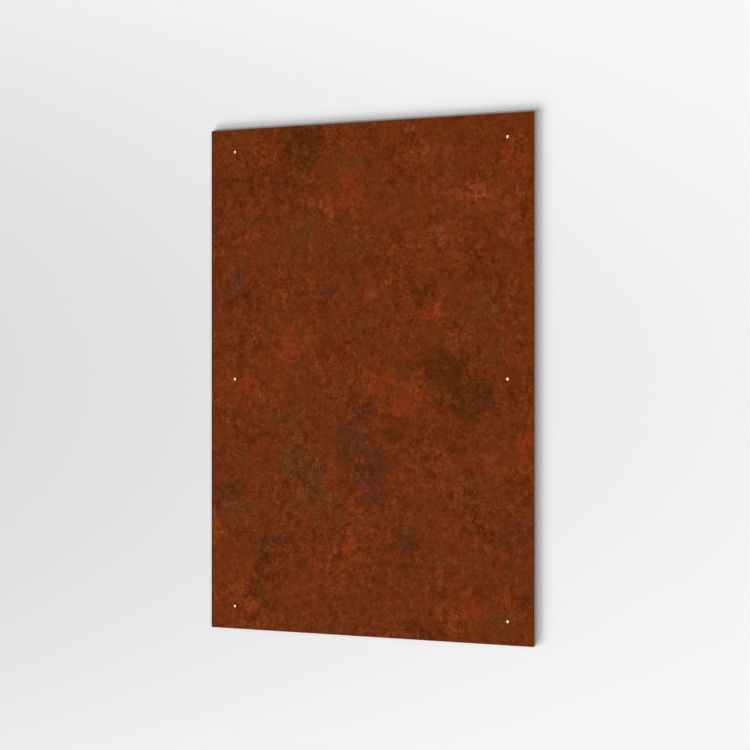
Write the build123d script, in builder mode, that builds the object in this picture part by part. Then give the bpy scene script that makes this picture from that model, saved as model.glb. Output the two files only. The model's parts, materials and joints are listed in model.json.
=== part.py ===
"""Flat rectangular steel plate, drilled with two columns of fixing holes.

The plate lies flat. The origin is the centre of its underside, +X runs across
the width, +Y along the length, and +Z points out of the face that shows.
All sizes are in millimetres.
"""

import os

from build123d import *

# Plate: half of a 900 x 1200 sheet, in the thinnest gauge that is sold as plate
plate_width = 600.0
plate_length = 900.0
plate_thickness = 3.0

# Outline: cut square, with its corners and edges dulled so that it can be handled
corner_radius = 1.0
edge_radius = 0.3

# Fixing holes: drilled straight through and deburred on both faces
hole_diameter = 5.0
hole_deburr = 0.3
hole_columns = 2
hole_rows = 3
side_margin = 46.0  # from a long edge to the nearest hole centres
end_margin = 40.0  # from a short edge to the nearest hole centres

# The outer holes keep their margins, and the others divide the rest evenly
column_spacing = (plate_width - 2 * side_margin) / (hole_columns - 1)
row_spacing = (plate_length - 2 * end_margin) / (hole_rows - 1)

with BuildPart() as steel_plate:
    with BuildSketch(Plane.XY):
        RectangleRounded(plate_width, plate_length, corner_radius)
    extrude(amount=plate_thickness)

    # The outline's edges on both faces, before the holes add edges of their own
    both_faces = steel_plate.faces().filter_by(Axis.Z)
    fillet(both_faces.edges(), radius=edge_radius)

    with GridLocations(column_spacing, row_spacing, hole_columns, hole_rows):
        Hole(radius=hole_diameter / 2)
    hole_rims = steel_plate.edges(Select.LAST).filter_by(GeomType.CIRCLE)
    chamfer(hole_rims, length=hole_deburr)

steel_plate.part.label = "steel_plate"

os.makedirs("parts", exist_ok=True)
export_step(steel_plate.part, "parts/steel_plate.step")

print("holes", hole_columns, "x", hole_rows, "spaced", column_spacing, "x", row_spacing)
print("volume", round(steel_plate.part.volume, 1), "mm3")
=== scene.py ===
# %% [markdown]
# # A rusted steel plate
#
# The object is one flat sheet of steel, 600 by 900 mm and 3 mm thick, with a
# small hole near each corner and one halfway up each long edge. Its form is
# almost nothing, so the looks are all in the skin: steel that was left to
# rust until it grew a dense brown coat, and the coat is never one colour.
#
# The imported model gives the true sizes. Everything below is worked out from
# it, in metres, with the plate lying on the floor and +Z out of its face.

import json
import math

import bpy
import numpy as np
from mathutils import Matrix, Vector


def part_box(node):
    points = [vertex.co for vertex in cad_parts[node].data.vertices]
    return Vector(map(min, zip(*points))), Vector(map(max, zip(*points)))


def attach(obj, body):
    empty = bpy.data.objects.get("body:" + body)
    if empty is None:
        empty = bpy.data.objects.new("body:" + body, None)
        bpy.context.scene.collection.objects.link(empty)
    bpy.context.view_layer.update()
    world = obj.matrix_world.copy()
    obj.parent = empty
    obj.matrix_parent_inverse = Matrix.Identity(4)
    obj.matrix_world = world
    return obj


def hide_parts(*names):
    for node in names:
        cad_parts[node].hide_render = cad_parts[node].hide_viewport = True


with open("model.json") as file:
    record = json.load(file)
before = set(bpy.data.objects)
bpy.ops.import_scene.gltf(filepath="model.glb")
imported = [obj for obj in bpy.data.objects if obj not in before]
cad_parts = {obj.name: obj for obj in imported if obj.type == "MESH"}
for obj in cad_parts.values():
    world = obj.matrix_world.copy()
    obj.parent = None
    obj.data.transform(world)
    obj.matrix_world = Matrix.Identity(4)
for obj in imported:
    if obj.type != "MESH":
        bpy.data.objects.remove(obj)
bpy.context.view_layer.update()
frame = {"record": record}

MM = 0.001
low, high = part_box("steel_plate")
WIDTH, LENGTH, THICKNESS = (h - l for l, h in zip(low, high))
print("plate", round(WIDTH / MM, 2), round(LENGTH / MM, 2), round(THICKNESS / MM, 2), "mm")

# %% [markdown]
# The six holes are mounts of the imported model, so their places and their
# radius are read from its record instead of being typed in a second time.
# A rectangle of holes has two spacings, and a line of holes has only one.

# %% Read the hole places
mounts = {mount["name"]: mount for mount in frame["record"]["mounts"]}
corners = mounts["corner_holes"]["dims"]
HOLE_RADIUS = corners["hole_r_mm"] * MM
HOLE_X = np.array([-0.5, 0.5]) * corners["spacing_x_mm"] * MM
HOLE_Y = np.array([-0.5, 0.0, 0.5]) * corners["spacing_y_mm"] * MM
print("hole radius", HOLE_RADIUS / MM, "columns", HOLE_X / MM, "rows", HOLE_Y / MM)

# %% [markdown]
# ## The surface of the plate
#
# A plate could be a cube with six cylinders cut out of it, but that leaves
# long thin triangles that take no relief. Here each face is a grid instead.
# Its cells are small beside the holes and at the corners and larger in the
# open, and a ring of cells turns each square gap in the grid into a round
# hole. Two strips, swept round the outline and down each hole, close it.

# %% Cell sizes
CELL = 4.2 * MM
RING_CELL = 2.0 * MM
RING_HALF = 4 * RING_CELL  # half of the square gap round a hole
EDGE_CELL = 1.0 * MM
EDGE_BAND = 3 * MM  # width of the band of small cells inside each edge
CORNER_RADIUS = 1.0 * MM
CORNER_CELLS = 3
EDGE_RADIUS = 0.3 * MM
RIM_BREAK = 0.3 * MM


def cell_borders(half_size, hole_places):
    """Borders of the cells along one axis: straight runs of even steps between
    fixed stops, with small steps across each hole and in each corner."""
    end = half_size - EDGE_RADIUS
    corner = CORNER_RADIUS - EDGE_RADIUS
    stops = [-end, -end + corner, -end + corner + EDGE_BAND]
    steps = [corner / CORNER_CELLS, EDGE_CELL]
    for place in hole_places:
        stops += [place - RING_HALF, place + RING_HALF]
        steps += [CELL, RING_CELL]
    stops += [end - corner - EDGE_BAND, end - corner, end]
    steps += [CELL, EDGE_CELL, corner / CORNER_CELLS]
    runs = []
    for start, stop, step in zip(stops[:-1], stops[1:], steps):
        count = max(1, round((stop - start) / step))
        runs.append(np.linspace(start, stop, count + 1)[:-1])
    return np.concatenate(runs + [[end]])


COLUMNS = cell_borders(WIDTH / 2, HOLE_X)
ROWS = cell_borders(LENGTH / 2, HOLE_Y)
print("cell borders", len(COLUMNS), "across and", len(ROWS), "along")

# %% [markdown]
# A square of cells can be bent into a quarter disc by one short formula, and
# the plate needs it twice: for its rounded corners, and for the round holes
# inside their square gaps.


# %% Squares to rounds
def round_off(a, b):
    """Square to disc: a becomes a * sqrt(1 - b^2 / 2), and b likewise, so the
    border of the square -1..1 lands on the unit circle and the axes stay."""
    return a * np.sqrt(1 - b * b / 2), b * np.sqrt(1 - a * a / 2)


def round_corners(x, y):
    """Pull the cells of the four corners in, so that the outline turns there
    on an arc. Elsewhere one of the two offsets is nought and nothing moves."""
    radius = CORNER_RADIUS - EDGE_RADIUS
    inner_x = WIDTH / 2 - CORNER_RADIUS
    inner_y = LENGTH / 2 - CORNER_RADIUS
    a = np.clip((np.abs(x) - inner_x) / radius, 0, None)
    b = np.clip((np.abs(y) - inner_y) / radius, 0, None)
    bent_a, bent_b = round_off(a, b)
    return (
        np.where(a > 0, np.sign(x) * (inner_x + radius * bent_a), x),
        np.where(b > 0, np.sign(y) * (inner_y + radius * bent_b), y),
    )


print("the corner (1, 1) of the square lands at", np.round(round_off(1.0, 1.0), 3))

# %% [markdown]
# Each of the three kinds of surface is a grid of points and the quads between
# them. The points that two surfaces share are made twice and welded at the
# end, which is simpler to read than counting indices across surfaces.


# %% Grids of quads
FAN_ROWS = 7  # rows of points from a square gap to the round rim in it
FAN_POWER = 1.5  # above 1, those rows lie closer together towards the rim
BORE_ROWS = 5
ROUND_ROWS = 5  # rows over the quarter round of an edge
WALL_ROWS = 3  # rows on the flat wall between two quarter rounds


def quads_between(rows, columns, keep=None):
    """Four corner numbers for each cell of a rows x columns grid of points."""
    number = np.arange(rows * columns).reshape(rows, columns)
    quads = np.stack(
        [number[:-1, :-1], number[:-1, 1:], number[1:, 1:], number[1:, :-1]], axis=-1
    )
    return quads.reshape(-1, 4) if keep is None else quads[keep]


def plate_face(z, upwards):
    """One flat face: every cell border across with every one along, without
    the cells in the square round each hole."""
    x, y = np.meshgrid(COLUMNS, ROWS)
    middle_x = (COLUMNS[:-1] + COLUMNS[1:]) / 2
    middle_y = (ROWS[:-1] + ROWS[1:]) / 2
    in_column = (np.abs(middle_x[:, None] - HOLE_X) < RING_HALF).any(axis=1)
    in_row = (np.abs(middle_y[:, None] - HOLE_Y) < RING_HALF).any(axis=1)
    keep = ~(in_row[:, None] & in_column[None, :])
    x, y = round_corners(x, y)
    points = np.stack([x, y, np.full_like(x, z)], axis=-1).reshape(-1, 3)
    quads = quads_between(len(ROWS), len(COLUMNS), keep)
    return points, quads if upwards else quads[:, ::-1]


def hole_surface(centre_x, centre_y):
    """From the square gap in the upper face to the one in the lower: a point
    goes round the square and, as the depth grows, blends onto the circle of
    the rim, runs down the bore and opens out to the square again."""
    side = np.linspace(-1, 1, round(2 * RING_HALF / RING_CELL) + 1)[:-1]
    ones = np.ones_like(side)
    a = np.concatenate([side, ones, -side, -ones])
    b = np.concatenate([-ones, side, ones, -side])
    a = np.append(a, a[0])
    b = np.append(b, b[0])
    circle_a, circle_b = round_off(a, b)
    rim = np.full(FAN_ROWS, HOLE_RADIUS + RIM_BREAK)
    blend = np.linspace(1, 0, FAN_ROWS) ** FAN_POWER
    bore_z = np.linspace(THICKNESS - RIM_BREAK, RIM_BREAK, BORE_ROWS)
    square = np.concatenate([blend, np.zeros(BORE_ROWS), blend[::-1]])
    radius = np.concatenate([rim, np.full(BORE_ROWS, HOLE_RADIUS), rim])
    z = np.concatenate([np.full(FAN_ROWS, THICKNESS), bore_z, np.zeros(FAN_ROWS)])
    x = centre_x + np.outer(square * RING_HALF, a) + np.outer((1 - square) * radius, circle_a)
    y = centre_y + np.outer(square * RING_HALF, b) + np.outer((1 - square) * radius, circle_b)
    points = np.stack([x, y, np.broadcast_to(z[:, None], x.shape)], axis=-1)
    return points.reshape(-1, 3), quads_between(len(z), len(a))


def outline_surface():
    """The cut edge: the border of the upper face carried round the plate, out
    along its normals over a small quarter round, down, and in again."""
    x = np.concatenate([
        COLUMNS[:-1], np.full(len(ROWS) - 1, COLUMNS[-1]),
        COLUMNS[:0:-1], np.full(len(ROWS), COLUMNS[0]),
    ])
    y = np.concatenate([
        np.full(len(COLUMNS) - 1, ROWS[0]), ROWS[:-1],
        np.full(len(COLUMNS) - 1, ROWS[-1]), ROWS[::-1],
    ])
    x, y = round_corners(x, y)
    inner = np.stack([
        np.clip(x, -WIDTH / 2 + CORNER_RADIUS, WIDTH / 2 - CORNER_RADIUS),
        np.clip(y, -LENGTH / 2 + CORNER_RADIUS, LENGTH / 2 - CORNER_RADIUS),
    ])
    normal = np.stack([x, y]) - inner
    normal /= np.linalg.norm(normal, axis=0)
    turn = np.radians(np.linspace(0, 90, ROUND_ROWS))
    wall = np.linspace(THICKNESS - EDGE_RADIUS, EDGE_RADIUS, WALL_ROWS + 2)[1:-1]
    out = np.concatenate([np.sin(turn), np.ones(WALL_ROWS), np.sin(turn)[::-1]]) * EDGE_RADIUS
    drop = (1 - np.cos(turn)) * EDGE_RADIUS
    z = np.concatenate([THICKNESS - drop, wall, drop[::-1]])
    points = np.stack([
        x + np.outer(out, normal[0]), y + np.outer(out, normal[1]),
        np.broadcast_to(z[:, None], (len(z), len(x))),
    ], axis=-1)
    return points.reshape(-1, 3), quads_between(len(z), len(x))[:, ::-1]


surfaces = [plate_face(THICKNESS, True), plate_face(0.0, False), outline_surface()]
surfaces += [hole_surface(x, y) for x in HOLE_X for y in HOLE_Y]
print("quads of both faces, the outline and the six holes:", [len(quads) for _, quads in surfaces])


# %% [markdown]
# Where two surfaces meet, both have a row of points in the same places. Points
# that agree to a thousandth of a millimetre become one. In a closed skin every
# edge then belongs to exactly two quads, so a count of the other edges shows
# at once whether a seam was left open.


# %% Weld the surfaces into one closed skin
WELD_STEP = 0.001 * MM


def weld(surfaces):
    """Join surfaces that meet: points whose places round to the same multiple
    of the weld step become one, and points that no quad uses are left out."""
    shift = np.cumsum([0] + [len(points) for points, quads in surfaces[:-1]])
    points = np.concatenate([points for points, quads in surfaces])
    quads = np.concatenate([quads + start for (_, quads), start in zip(surfaces, shift)])
    used, quads = np.unique(quads, return_inverse=True)
    quads = quads.reshape(-1, 4)
    points = points[used]
    key = np.round(points / WELD_STEP).astype(np.int64)
    _, first, same = np.unique(key, axis=0, return_index=True, return_inverse=True)
    return points[first], same.reshape(-1)[quads]


points, quads = weld(surfaces)
edges = np.sort(np.concatenate([quads[:, [i, (i + 1) % 4]] for i in range(4)]), axis=1)
_, uses = np.unique(edges, axis=0, return_counts=True)
print("points", len(points), "quads", len(quads), "edges not shared by two:", int((uses != 2).sum()))

# %% [markdown]
# ## Relief
#
# Rolled plate is flat to the eye but not to a lamp: it is a little wavy, and
# the rust stands in patches about a tenth of a millimetre thick. A cloud
# function makes such forms from a lattice of random heights, and the surface
# only ever goes inwards, so that the plate keeps its size.


# %% Cloud function and relief
LATTICE = 512  # random values along each side, after which a cloud repeats


def cloud(x, y, size, seed):
    """Smooth random heights from 0 to 1: random values stand on a lattice of
    the given size, and between them the height eases from one to the next
    with 3t^2 - 2t^3 along each axis."""
    lattice = np.random.default_rng(seed).random((LATTICE, LATTICE))
    column, row = np.floor(x / size), np.floor(y / size)
    u, v = x / size - column, y / size - row
    u, v = u * u * (3 - 2 * u), v * v * (3 - 2 * v)
    i, j = column.astype(int) % LATTICE, row.astype(int) % LATTICE
    k, m = (i + 1) % LATTICE, (j + 1) % LATTICE
    near = lattice[i, j] * (1 - u) + lattice[k, j] * u
    far = lattice[i, m] * (1 - u) + lattice[k, m] * u
    return near * (1 - v) + far * v


def layered_cloud(x, y, size, seed, layers=3):
    """Clouds of halving size and weight, added up and brought back to 0..1."""
    weights = 0.5 ** np.arange(layers)
    heights = [w * cloud(x, y, size * w, seed + i) for i, w in enumerate(weights)]
    return sum(heights) / weights.sum()


ROLL_WAVE, WAVE_SIZE = 0.05 * MM, 60 * MM
RUST_DEPTH, RUST_SIZE = 0.09 * MM, 16 * MM
FADE_WIDTH = 3 * MM  # the relief fades out over this width beside an edge or a rim
ON_EDGE = 1e-7  # metres by which a point may miss an edge and still lie on it
LOWER_SHIFT = 5.0  # metres across, so that the lower face gets clouds of its own

x, y, z = points.T
upper = z > THICKNESS / 2
shifted_x = x + np.where(upper, 0.0, LOWER_SHIFT)
from_edge = np.minimum(WIDTH / 2 - np.abs(x), LENGTH / 2 - np.abs(y)) - EDGE_RADIUS
hole_distance = np.hypot(
    x[:, None] - np.repeat(HOLE_X, len(HOLE_Y)), y[:, None] - np.tile(HOLE_Y, len(HOLE_X)),
).min(axis=1)
from_rim = hole_distance - HOLE_RADIUS - RIM_BREAK
on_face = (from_edge > -ON_EDGE) & (from_rim > -ON_EDGE) & ((z == 0) | (z == THICKNESS))
fade = np.clip(np.minimum(from_edge, from_rim) / FADE_WIDTH, 0, 1) * on_face
depth = ROLL_WAVE * cloud(shifted_x, y, WAVE_SIZE, seed=11)
depth += RUST_DEPTH * layered_cloud(shifted_x, y, RUST_SIZE, seed=23)
points[:, 2] += np.where(upper, -1, 1) * depth * fade
print("relief up to", round((depth * fade).max() / MM, 3), "mm")

# %% [markdown]
# ## Where the coat differs
#
# Over the even brown lie patches: dark where water stood, orange and salmon
# where the rust is young, maroon where it is old and dry, and olive, sage or
# slate where the coat is thick. They follow no rule, so their places are
# listed one by one: across and along in millimetres from the middle, two radii
# and a strength. Each is a soft spot whose outline a cloud pushes about. The sum
# is kept on the points as an attribute, and the material reads that.

# %% Patches of the coat
PATCHES = {
    "maroon": [
        (-50, 50, 50, 35, 0.8), (-90, 130, 30, 22, 0.6), (-100, -380, 50, 42, 0.9),
        (80, 360, 35, 22, 0.7), (40, -200, 42, 25, 0.7), (170, 350, 40, 30, 0.5),
        (-230, 240, 32, 24, 0.6), (10, 200, 30, 40, 0.4), (270, 240, 30, 40, 0.5),
        (60, 100, 30, 30, 0.4), (-280, 60, 20, 30, 0.5), (170, 190, 50, 30, 0.5),
    ],
    "orange": [
        (-210, 420, 36, 20, 0.7), (-32, 325, 18, 42, 1.1), (-85, 310, 26, 20, 0.6),
        (120, 400, 36, 13, 0.4), (275, 370, 32, 42, 0.6), (-140, 65, 36, 26, 0.9),
        (-170, 10, 22, 36, 0.6), (-250, -15, 42, 26, 0.8), (-160, 170, 13, 52, 0.6),
        (130, 120, 18, 18, 0.9), (100, 106, 22, 10, 0.7), (20, 0, 50, 26, 0.7),
        (85, -20, 30, 22, 0.9), (70, -50, 36, 12, 0.7), (290, -110, 15, 42, 1.0),
        (-290, -270, 16, 42, 0.8), (-240, -390, 46, 42, 0.9), (170, -400, 42, 30, 0.9),
        (250, -380, 16, 13, 0.8), (-25, -305, 24, 22, 0.8), (-80, -330, 42, 16, 0.5),
        (150, -250, 18, 42, 0.5), (-70, -165, 10, 18, 0.5), (285, 180, 18, 40, 0.4),
    ],
    "salmon": [
        (120, 398, 36, 16, 0.7), (210, 312, 34, 24, 1.0), (260, 268, 13, 32, 0.9),
        (150, 330, 26, 20, 0.7), (-80, 308, 30, 22, 0.7), (-220, 250, 30, 20, 0.5),
        (45, 290, 18, 12, 0.7), (130, 240, 56, 36, 0.6), (20, 160, 34, 26, 0.5),
        (230, -145, 20, 28, 0.8), (110, -188, 34, 14, 0.8), (-100, -370, 40, 30, 0.4),
        (0, -255, 42, 24, 0.5), (-90, 20, 30, 22, 0.4), (170, 60, 20, 30, 0.3),
        (130, -150, 30, 20, 0.4), (200, -290, 40, 30, 0.3),
    ],
    "olive": [
        (-40, 385, 22, 20, 0.8), (210, 112, 42, 42, 0.9), (0, 100, 14, 12, 0.7),
        (-125, -40, 16, 44, 0.9), (-165, -80, 40, 26, 0.6), (-180, -420, 16, 26, 0.6),
        (230, -425, 38, 20, 0.8), (-240, 430, 32, 20, 0.6), (200, -215, 30, 14, 0.5),
        (-60, -235, 36, 22, 0.7), (80, 10, 14, 20, 0.4), (-190, 100, 20, 26, 0.4),
        (30, -350, 40, 20, 0.5), (290, 20, 14, 40, 0.5), (120, -310, 30, 20, 0.4),
    ],
    "sage": [
        (-120, 262, 30, 32, 0.8), (-130, -150, 46, 46, 0.8), (-100, -208, 22, 20, 0.9),
        (190, -185, 22, 26, 0.8), (-245, -235, 28, 32, 0.8), (222, 30, 26, 26, 0.5),
        (50, 30, 30, 16, 0.5), (-290, -150, 14, 30, 0.5), (-260, 185, 24, 14, 0.5),
        (-30, 235, 30, 26, 0.5), (60, -235, 20, 20, 0.4), (150, 20, 30, 40, 0.3),
    ],
    "slate": [
        (-15, -52, 24, 18, 0.8), (-30, -118, 32, 34, 1.0), (14, -160, 20, 24, 1.0),
        (4, -205, 24, 18, 0.6), (-60, 160, 20, 26, 0.7), (-62, 205, 22, 24, 0.4),
        (-240, 178, 22, 13, 0.8), (75, -282, 20, 16, 0.8), (262, -285, 36, 46, 0.6),
        (-255, 145, 40, 12, 0.6), (-285, -330, 14, 16, 0.3), (285, -378, 16, 22, 0.7),
        (-230, 320, 30, 20, 0.4), (120, -60, 24, 12, 0.4),
    ],
    "dark": [
        (-135, 430, 50, 26, 0.8), (-110, 400, 24, 22, 0.8), (-270, 356, 36, 14, 0.8),
        (-290, 285, 16, 34, 0.7), (-160, 352, 28, 25, 0.6), (-200, 375, 22, 12, 0.4),
        (100, 145, 15, 10, 0.9), (135, 25, 40, 24, 0.9), (165, -8, 30, 20, 0.6),
        (205, -32, 44, 22, 0.8), (180, -55, 34, 12, 0.6), (270, -75, 15, 12, 0.7),
        (165, -122, 12, 14, 0.8), (52, -95, 28, 11, 0.7), (-40, -140, 22, 10, 0.5),
        (-210, -105, 32, 12, 0.5), (-272, -200, 24, 16, 0.9), (-160, -285, 32, 15, 0.8),
        (-185, -310, 14, 20, 0.7), (-202, -360, 18, 30, 0.9), (-190, -395, 14, 18, 0.5),
        (110, -440, 26, 11, 0.6), (70, -320, 30, 13, 0.5), (70, 232, 12, 30, 0.4),
        (15, -168, 15, 18, 0.5), (-255, 145, 44, 9, 0.4), (270, 400, 12, 8, 0.3),
    ],
}
PATCH_SPREAD = 1.2  # every radius is drawn this much wider than it is listed
PUSH_SIZE, FINE_PUSH_SIZE = 22 * MM, 9 * MM
PUSH_REACH = 22 * MM


def push(x, y, seed):
    """How far a point is pushed along one axis: a cloud and half as much of a
    finer one, less their mean of 0.75, times the reach."""
    heights = cloud(x, y, PUSH_SIZE, seed) + 0.5 * cloud(x, y, FINE_PUSH_SIZE, seed + 2)
    return (heights - 0.75) * PUSH_REACH


def patch_sum(x, y, patches):
    """Sum of strength * exp(-d^2), with d the distance from a patch's centre
    in units of its own radii."""
    table = np.array(patches)
    centre_x, centre_y, radius_x, radius_y = table[:, :4].T * MM
    radius_x, radius_y = PATCH_SPREAD * radius_x, PATCH_SPREAD * radius_y
    across = (x[:, None] - centre_x) / radius_x
    along = (y[:, None] - centre_y) / radius_y
    return np.clip(np.exp(-(across ** 2) - along ** 2) @ table[:, 4], 0, 1)


# The back has no picture to follow, so it wears the same patches turned round
turn = np.where(upper, 1.0, -1.0)
turned_x, turned_y = x * turn, y * turn
pushed_x = turned_x + push(turned_x, turned_y, seed=31)
pushed_y = turned_y + push(turned_x, turned_y, seed=32)
attributes = {kind: patch_sum(pushed_x, pushed_y, rows) for kind, rows in PATCHES.items()}
# 1 on the straight cut edges and in the bores and 0 on both faces. Distance
# is taken from the two straight edges, so it falls off round a corner.
attributes["cut"] = np.maximum(
    np.clip(1 - (from_edge + EDGE_RADIUS) / EDGE_RADIUS, 0, 1),
    np.clip(1 - (hole_distance - HOLE_RADIUS) / RIM_BREAK, 0, 1),
)
print("mean strengths", {kind: round(float(values.mean()), 3) for kind, values in attributes.items()})


# %% [markdown]
# The arrays now become one object. It replaces the plate of the imported model
# and rides on the same body. The whole skin is shaded smooth, and the small
# quarter round along the outline keeps the two faces looking flat right up to
# their edges.


# %% Make the plate's mesh
def make_piece(name, points, quads, attributes):
    """Put whole arrays of points, quads and point values into a new object."""
    mesh = bpy.data.meshes.new(name)
    mesh.from_pydata(points, [], quads)
    for kind, values in attributes.items():
        mesh.attributes.new(kind, "FLOAT", "POINT").data.foreach_set("value", values.astype(np.float32))
    mesh.polygons.foreach_set("use_smooth", np.ones(len(quads), dtype=bool))
    mesh.update()
    piece = bpy.data.objects.new(name, mesh)
    bpy.context.scene.collection.objects.link(piece)
    return piece


plate = make_piece("rusted_plate", points, quads, attributes)
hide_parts("steel_plate")
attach(plate, "root")
print("triangles", 2 * len(plate.data.polygons))


# %% [markdown]
# ## Finishes
#
# Colours are written as sRGB hex, the way a colour picker shows them, and one
# function turns them into the linear values that the renderer works in. One
# more function adds a node, and everything else about it is data.


# %% Colour and node helpers
def linear(hex_code):
    """sRGB hex to linear: c / 12.92 near black, ((c + 0.055) / 1.055)^2.4 above."""
    c = np.array([int(hex_code[i:i + 2], 16) for i in (1, 3, 5)]) / 255
    c = np.where(c <= 0.04045, c / 12.92, ((c + 0.055) / 1.055) ** 2.4)
    return (*c.tolist(), 1.0)


def add(tree, kind, inputs, **settings):
    """Add a node. An input is a value to set, or a socket to link from."""
    node = tree.nodes.new("ShaderNode" + kind)
    for name, value in settings.items():
        setattr(node, name, value)
    for name, value in inputs.items():
        if isinstance(value, bpy.types.NodeSocket):
            tree.links.new(value, node.inputs[name])
        else:
            node.inputs[name].default_value = value
    return node


def per_metre(size_mm):
    """Noise scale for features of a real size: how many fit in a metre."""
    return 1000 / size_mm


print("middle grey is", round(linear("#808080")[0], 4), "in linear values")

# %% [markdown]
# ### The coat of rust
#
# This is weathering steel, a low alloy with a little copper and chromium that
# is left bare outdoors. Its first rust is loose and orange. Years of wetting
# and drying turn that into a dense brown oxide that holds tight and shields
# the steel. The eye gets a matt, saturated brown with no shine of metal at
# all, and clouds of colour where the coat is younger, wetter or thicker.
#
# Each colour is a wash laid over the one below. Where a wash covers is set by
# its patch attribute plus a cloudy noise, cut off softly, so a patch breaks
# up at its rim and stray blots lie outside it. Small pale and dark specks
# come next, and last three grains: a mottle of 18 mm and two finer ones.
# Real grains of oxide are far below a millimetre. Here the finest are drawn
# 1.2 mm wide, which is about the least that a picture of the plate can hold.

# %% What the coat is made of
GROUND = ("#662C09", "#6F2D0C")
GROUND_CLOUD = (60, 3)  # size in mm, finer layers
WASHES = (
    # attribute, colour, widest blot in mm, pull of the attribute, cover
    ("maroon", "#69260F", 26, 1.55, 0.72),
    ("orange", "#85350F", 20, 1.5, 0.68),
    ("salmon", "#85391B", 15, 1.5, 0.74),
    ("olive", "#5E3412", 27, 1.5, 0.64),
    ("sage", "#5B3418", 27, 1.5, 0.62),
    ("slate", "#532A17", 19, 1.6, 0.70),
    ("dark", "#482409", 12, 1.5, 0.72),
)
WASH_NOISE = 5.0  # what the noise counts for beside the attribute
WASH_START, WASH_SOLID = 2.65, 4.0  # sums at which a wash begins and is whole
SPECKS = (
    # colour, size in mm, noise where a speck begins and is whole, cover
    ("#8A4826", 9.0, 0.57, 0.80, 0.40),
    ("#46210A", 9.0, 0.57, 0.80, 0.45),
)
WASH_LAYERS, SPECK_LAYERS = 3, 1  # finer layers of noise in a wash and in a speck
GRAINS = (
    # size in mm, finer layers, share by which red, green and blue swing, height in mm
    (18, 3, (0.32, 0.46, 0.95), 0.20),
    (4.6, 1, (0.20, 0.46, 1.00), 0.08),
    (1.2, 1, (0.12, 0.31, 0.76), 0.03),
)
GRAIN_DOWN, GRAIN_UP = 0.3, 0.7  # noise at which a grain has swung by its share, down and up
BUMP_STRENGTH = 0.5
CALM_CLOUD = (90, 2)  # size in mm, finer layers
CALM, BUSY = 0.42, 0.58  # noise below which the coat is calm and above which it is busy
CALM_SHARE = 0.45  # how much of the grains a calm stretch shows
LAYER_WEIGHT = 0.75  # of each finer layer of noise, beside the one before it
SLICE_GAP = 1.7  # between the slices of the 4D noise that two rows take
# the cut edge's rust, darker partly as its own and partly as painted shade against the low window lamps
CUT_RUST_AND_SHADE = ("#2E1508", "#5A2C10")
CUT_LINE = 1.5  # mm between the lines down the cut wall
CUT_STRETCH = 0.1  # a tenth of the height is read, so a line is ten times as tall as wide
print(len(WASHES), "washes,", len(SPECKS), "kinds of speck and", len(GRAINS), "grains")

# %% [markdown]
# The shader works through those tables from the bottom of the coat to its top.
# Every row gets its own slice of a 4D noise, so no two layers repeat each
# other. A grain darkens as well as colours, and blue swings most because there
# is least of it. The same grains raise the bump, so a dark dot is also a pit.
# The cut edge and the bores carry a thinner rust of their own, darker partly
# as sheared steel rusts and partly as painted shade that keeps the edges which
# face the low window lamps from glaring.


# %% Rust coat
def lay_over(tree, colour, value, start, whole, cover, hex_code):
    """Lay a colour over another one. It is absent below start and then grows,
    as 3t^2 - 2t^3, up to its cover."""
    mask = add(tree, "MapRange", {
        "Value": value, "From Min": start, "From Max": whole, "To Min": 0.0, "To Max": cover,
    }, interpolation_type="SMOOTHSTEP").outputs[0]
    return add(tree, "Mix", {0: mask, 6: colour, 7: linear(hex_code)}, data_type="RGBA").outputs[2]


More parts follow.
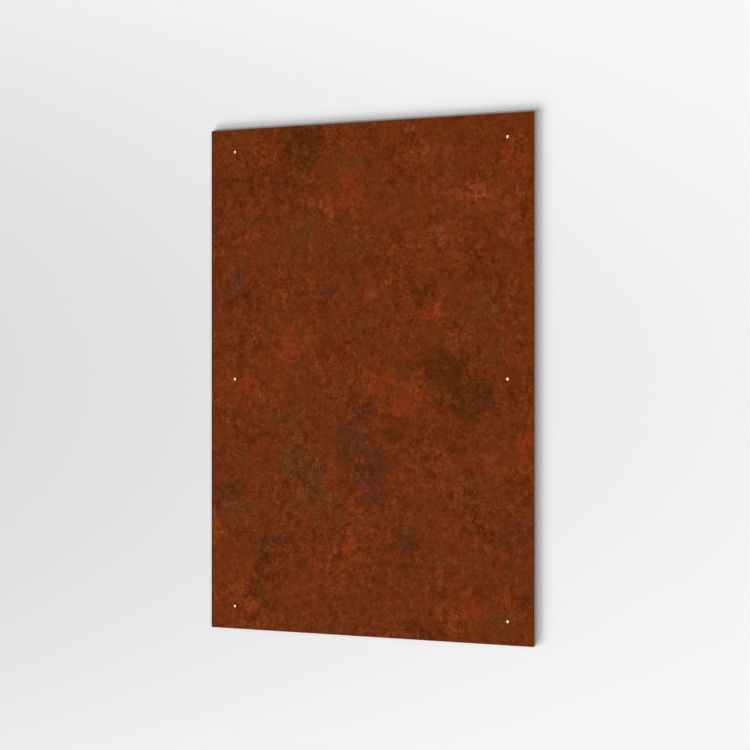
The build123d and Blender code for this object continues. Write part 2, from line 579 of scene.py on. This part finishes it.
def rust_coat():
    """Weathered steel: a brown ground, the washes, the specks and the grains
    in the order of their tables, on a matt shader with a slight bump."""
    material = bpy.data.materials.new("weathered_steel_oxide")
    material.use_nodes = True
    tree = material.node_tree
    place = add(tree, "TexCoord", {}).outputs["Object"]

    clouds = [GROUND_CLOUD, CALM_CLOUD] + [(row[2], WASH_LAYERS) for row in WASHES]
    clouds += [(row[1], SPECK_LAYERS) for row in SPECKS] + [row[:2] for row in GRAINS]
    noises = [
        add(tree, "TexNoise", {
            "Vector": place, "W": SLICE_GAP * number, "Scale": per_metre(size),
            "Detail": layers, "Roughness": LAYER_WEIGHT,
        }, noise_dimensions="4D").outputs[0]
        for number, (size, layers) in enumerate(clouds)
    ]
    ground_noise, calm_noise, *noises = noises
    wash_noises, noises = noises[:len(WASHES)], noises[len(WASHES):]
    speck_noises, grain_noises = noises[:len(SPECKS)], noises[len(SPECKS):]

    colour = add(tree, "Mix", {
        0: ground_noise, 6: linear(GROUND[0]), 7: linear(GROUND[1]),
    }, data_type="RGBA").outputs[2]

    for noise, (kind, hex_code, _, pull, cover) in zip(wash_noises, WASHES):
        spot = add(tree, "Attribute", {}, attribute_name=kind).outputs["Fac"]
        spot = add(tree, "Math", {0: spot, 1: pull}, operation="MULTIPLY").outputs[0]
        total = add(tree, "Math", {0: noise, 1: WASH_NOISE, 2: spot}, operation="MULTIPLY_ADD").outputs[0]
        colour = lay_over(tree, colour, total, WASH_START, WASH_SOLID, cover, hex_code)

    for noise, (hex_code, _, start, whole, cover) in zip(speck_noises, SPECKS):
        colour = lay_over(tree, colour, noise, start, whole, cover, hex_code)

    # some stretches of the coat are calm and others busy, so the grains come and go
    busy = add(tree, "MapRange", {
        "Value": calm_noise, "From Min": CALM, "From Max": BUSY, "To Min": CALM_SHARE, "To Max": 1.0,
    }).outputs[0]
    normal = add(tree, "NewGeometry", {}).outputs["Normal"]
    for noise, (_, _, swing, height) in zip(grain_noises, GRAINS):
        # sockets 7 to 10 are the limits of the vector, from and to
        level = add(tree, "MapRange", {
            "Vector": noise, 7: [GRAIN_DOWN] * 3, 8: [GRAIN_UP] * 3,
            9: [1 - part for part in swing], 10: [1 + part for part in swing],
        }, data_type="FLOAT_VECTOR", clamp=False).outputs[1]
        grainy = add(tree, "VectorMath", {0: colour, 1: level}, operation="MULTIPLY").outputs[0]
        colour = add(tree, "Mix", {0: busy, 6: colour, 7: grainy}, data_type="RGBA").outputs[2]
        normal = add(tree, "Bump", {
            "Height": noise, "Distance": height * MM, "Strength": BUMP_STRENGTH, "Normal": normal,
        }).outputs[0]

    # a noise that is drawn out across the thickness leaves lines down the cut wall
    cut = add(tree, "Attribute", {}, attribute_name="cut").outputs["Fac"]
    stretched = add(tree, "VectorMath", {0: place, 1: (1, 1, CUT_STRETCH)}, operation="MULTIPLY").outputs[0]
    lines = add(tree, "TexNoise", {
        "Vector": stretched, "Scale": per_metre(CUT_LINE), "Detail": 2, "Roughness": 0.7,
    }).outputs[0]
    # the cut wall's rust, darker partly as its own and partly as painted shade against the low window lamps
    edge = add(tree, "Mix", {
        0: lines, 6: linear(CUT_RUST_AND_SHADE[0]), 7: linear(CUT_RUST_AND_SHADE[1]),
    }, data_type="RGBA").outputs[2]
    colour = add(tree, "Mix", {0: cut, 6: colour, 7: edge}, data_type="RGBA").outputs[2]

    shader = tree.nodes["Principled BSDF"]
    tree.links.new(colour, shader.inputs["Base Color"])
    tree.links.new(normal, shader.inputs["Normal"])
    shader.inputs["Roughness"].default_value = 0.9
    # crumbly oxide traps the light that a smooth skin would reflect, so next to no sheen is left
    shader.inputs["Specular IOR Level"].default_value = 0.03
    return material


coat = rust_coat()
plate.data.materials.append(coat)
print(coat.name, "has", len(coat.node_tree.nodes), "nodes")


# %% [markdown]
# ## The studio
#
# The plate lies on a pale, matt, painted floor. Its colour holds painted light:
# it is a little lighter to one side and towards the ends, as light falls there,
# and farther out it settles on one plain tone. The world shows that tone too,
# so no horizon can be seen.
#
# A 5 mm hole through a 3 mm plate lets in so little light that the floor
# below it would look black. The holes should read as bright dots, as they do
# when light comes from behind the plate. So the floor below the plate glows,
# but only for the rays that make the picture, and it lights nothing else.


# %% Floor
BACKDROP = 0.86
FLOOR_HALF = 6.0
FLOOR_DROP = 0.05 * MM
MIDDLE_TONE = 0.804
# painted light: the tone grows lighter across and towards the ends, as light falls there
PAINTED_LIGHT_ACROSS = 0.111  # gained for each metre across
PAINTED_LIGHT_TO_ENDS = 0.246  # gained times the square of the metres along
DARKEST, PALEST = 0.72, 0.93
PLAIN_START, PLAIN_WHOLE = 1.2, 2.5  # metres out at which the backdrop's tone begins and is whole
GLOW = "#F6E4CB"
GLOW_MARGIN = 5 * MM  # the glow stops this far inside the outline, so that none shows beside the plate


def seen_rays(tree):
    """1 for rays that go into the picture, straight, by a mirror or through
    glass, and 0 for rays that only carry light about."""
    rays = add(tree, "LightPath", {}).outputs
    seen = rays["Is Camera Ray"]
    for kind in ("Is Glossy Ray", "Is Transmission Ray"):
        seen = add(tree, "Math", {0: seen, 1: rays[kind]}, operation="MAXIMUM").outputs[0]
    return seen


def floor_paint():
    """Pale matt paint with painted light in it. Its tone is the middle one, plus a
    share of x and a share of y^2 that paint a fall of light, held between the
    darkest and the palest, and far out it eases into the backdrop's tone."""
    material = bpy.data.materials.new("pale_floor_paint")
    material.use_nodes = True
    tree = material.node_tree
    shader = tree.nodes["Principled BSDF"]
    place = add(tree, "TexCoord", {}).outputs["Object"]
    axes = add(tree, "SeparateXYZ", {0: place}).outputs
    square = add(tree, "Math", {0: axes[1], 1: axes[1]}, operation="MULTIPLY").outputs[0]
    # painted light: a share of x and of y^2 make the floor lighter where more light falls
    tone = add(tree, "Math", {
        0: axes[0], 1: PAINTED_LIGHT_ACROSS, 2: MIDDLE_TONE,
    }, operation="MULTIPLY_ADD").outputs[0]
    tone = add(tree, "Math", {0: square, 1: PAINTED_LIGHT_TO_ENDS, 2: tone}, operation="MULTIPLY_ADD").outputs[0]
    tone = add(tree, "Clamp", {"Value": tone, "Min": DARKEST, "Max": PALEST}).outputs[0]
    distance = add(tree, "VectorMath", {0: place}, operation="LENGTH").outputs["Value"]
    plain = add(tree, "MapRange", {
        "Value": distance, "From Min": PLAIN_START, "From Max": PLAIN_WHOLE,
    }, interpolation_type="SMOOTHSTEP").outputs[0]
    tone = add(tree, "Mix", {0: plain, 2: tone, 3: BACKDROP}).outputs[0]
    tree.links.new(tone, shader.inputs["Base Color"])
    # chalky paint scatters all its light, so it has no sheen to set
    shader.inputs["Roughness"].default_value = 0.9
    shader.inputs["Specular IOR Level"].default_value = 0.0

    glow = seen_rays(tree)
    for axis, half in ((0, WIDTH / 2), (1, LENGTH / 2)):
        away = add(tree, "Math", {0: axes[axis]}, operation="ABSOLUTE").outputs[0]
        under = add(tree, "Math", {0: away, 1: half - GLOW_MARGIN}, operation="LESS_THAN").outputs[0]
        glow = add(tree, "Math", {0: glow, 1: under}, operation="MULTIPLY").outputs[0]
    shader.inputs["Emission Color"].default_value = linear(GLOW)
    tree.links.new(glow, shader.inputs["Emission Strength"])
    return material


floor_mesh = bpy.data.meshes.new("floor")
floor_mesh.from_pydata([
    (-FLOOR_HALF, -FLOOR_HALF, -FLOOR_DROP), (FLOOR_HALF, -FLOOR_HALF, -FLOOR_DROP),
    (FLOOR_HALF, FLOOR_HALF, -FLOOR_DROP), (-FLOOR_HALF, FLOOR_HALF, -FLOOR_DROP),
], [], [(0, 1, 2, 3)])
floor_mesh.materials.append(floor_paint())
floor = bpy.data.objects.new("floor", floor_mesh)
bpy.context.scene.collection.objects.link(floor)
print("floor", 2 * FLOOR_HALF, "m square,", FLOOR_DROP / MM, "mm below the plate")

# %% [markdown]
# The light is a plain white sky and one wide window, low at the lower left of
# the picture. The window is four suns with broad discs: three side by side and
# close to the floor, which draw the soft dark band along the upper and right
# edges, and one higher up that fills it in. A sun of strength E, standing at a
# height h, lights the floor with E sin(h) / pi, so each share is turned round
# to give E. All shares and the sky add up to 1, and a colour renders about as
# written.

# %% Light
SKY_SHARE = 0.33
WINDOW = (
    # direction it comes from and height in degrees, width of the disc in degrees, share of the light
    (196, 8, 9, 0.17),
    (216, 8, 9, 0.17),
    (236, 8, 9, 0.17),
    (216, 26, 20, 0.16),
)

world = bpy.data.worlds.new("studio")
bpy.context.scene.world = world
world.use_nodes = True
sky = world.node_tree
background = sky.nodes["Background"]
background.inputs["Color"].default_value = linear("#FFFFFF")
strength = add(sky, "MapRange", {
    "Value": seen_rays(sky), "To Min": SKY_SHARE, "To Max": BACKDROP,
}).outputs[0]
sky.links.new(strength, background.inputs["Strength"])

for number, (turn, height, size, share) in enumerate(WINDOW):
    turn, height = math.radians(turn), math.radians(height)
    lamp = bpy.data.lights.new(f"window_{number}", "SUN")
    lamp.energy = share * math.pi / math.sin(height)
    lamp.angle = math.radians(size)
    window = bpy.data.objects.new(f"window_{number}", lamp)
    towards = Vector((
        math.cos(turn) * math.cos(height), math.sin(turn) * math.cos(height), math.sin(height),
    ))
    window.rotation_euler = towards.to_track_quat("Z", "Y").to_euler()
    bpy.context.scene.collection.objects.link(window)
print("light adds up to", round(SKY_SHARE + sum(row[-1] for row in WINDOW), 3))

# %% [markdown]
# The photo was taken a little from the right, level with the middle of the
# plate. Here the plate lies down, so the camera hangs over it, tilted by the
# same angle about the long axis. Distance, angle and focal length were solved
# from the four corners of the outline. The long edge nearer to the camera is
# the longer one in the picture, and that ratio fixes the distance.

# %% Camera
PICTURE = 750  # pixels along each side
FOCAL_PIXELS = 1509.9
DROP_PIXELS = 4.15  # the optical axis meets the picture this far below its middle
SENSOR = 36  # mm
DISTANCE = 2.638  # metres back from the middle of the plate's face
TURN = math.radians(20.12)
ASIDE = 0.0151  # metres to the camera's right of the line through that middle

lens = bpy.data.cameras.new("camera")
lens.sensor_width = SENSOR
lens.lens = FOCAL_PIXELS / PICTURE * SENSOR
lens.shift_y = DROP_PIXELS / PICTURE
camera = bpy.data.objects.new("camera", lens)
camera.location = (
    DISTANCE * math.sin(TURN) + ASIDE * math.cos(TURN),
    0,
    DISTANCE * math.cos(TURN) - ASIDE * math.sin(TURN) + THICKNESS,
)
camera.rotation_euler = (0, TURN, 0)
bpy.context.scene.collection.objects.link(camera)
bpy.context.scene.camera = camera
bpy.context.scene.view_settings.view_transform = "Standard"
print("camera at", [round(value, 3) for value in camera.location], "m with", round(lens.lens, 1), "mm lens")
